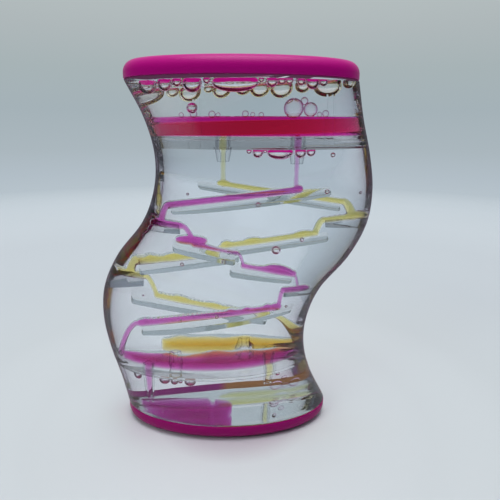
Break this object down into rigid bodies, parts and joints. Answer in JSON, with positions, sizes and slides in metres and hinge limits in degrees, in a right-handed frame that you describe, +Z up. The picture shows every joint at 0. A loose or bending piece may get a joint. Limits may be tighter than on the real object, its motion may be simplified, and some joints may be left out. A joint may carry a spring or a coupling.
{
  "type": "liquid motion timer",
  "caption": "Clear S-shaped liquid motion timer with magenta end caps; pink and yellow liquid run down zig-zag ramps in a front and a rear chamber.",
  "frame": {"origin": "on the table, under the middle of the vessel, on the axis about which it turns over", "axes": "+Z up, +Y to the rear, +X to the right seen from the front"},
  "size_m": [0.1084, 0.0446, 0.145],
  "materials": {
    "cap_plastic": "satin",
    "clear_plastic": "polished",
    "clear_liquid": "polished",
    "pink_liquid": "polished",
    "yellow_liquid": "polished"
  },
  "bodies": {
    "root": {"bottom_cap": "cap_plastic", "centre_panel": "clear_plastic", "front_filler_plug": "clear_plastic", "front_ledge_lower": "clear_plastic", "front_ledge_upper": "clear_plastic", "front_long_ramp_lower": "clear_plastic", "front_long_ramp_upper": "clear_plastic", "front_lower_clear_liquid": "clear_liquid", "front_middle_clear_liquid": "clear_liquid", "front_shell": "clear_plastic", "front_short_ramp_lower": "clear_plastic", "front_short_ramp_upper": "clear_plastic", "front_upper_clear_liquid": "clear_liquid", "lower_front_nozzle": "clear_plastic", "lower_front_riser": "clear_plastic", "lower_front_tray": "clear_plastic", "lower_rear_nozzle": "clear_plastic", "lower_rear_riser": "clear_plastic", "lower_rear_tray": "clear_plastic", "pink_bottom_pool": "pink_liquid", "pink_drain": "pink_liquid", "pink_stream": "pink_liquid", "pink_tray_pool": "pink_liquid", "pink_upper_pool": "pink_liquid", "rear_filler_plug": "clear_plastic", "rear_ledge_lower": "clear_plastic", "rear_ledge_upper": "clear_plastic", "rear_long_ramp_lower": "clear_plastic", "rear_long_ramp_upper": "clear_plastic", "rear_lower_clear_liquid": "clear_liquid", "rear_middle_clear_liquid": "clear_liquid", "rear_shell": "clear_plastic", "rear_short_ramp_lower": "clear_plastic", "rear_short_ramp_upper": "clear_plastic", "rear_upper_clear_liquid": "clear_liquid", "top_cap": "cap_plastic", "upper_front_nozzle": "clear_plastic", "upper_front_riser": "clear_plastic", "upper_front_tray": "clear_plastic", "upper_rear_nozzle": "clear_plastic", "upper_rear_riser": "clear_plastic", "upper_rear_tray": "clear_plastic", "yellow_bottom_pool": "yellow_liquid", "yellow_drain": "yellow_liquid", "yellow_stream": "yellow_liquid", "yellow_tray_pool": "yellow_liquid", "yellow_upper_pool": "yellow_liquid"}
  },
  "joints": []
}
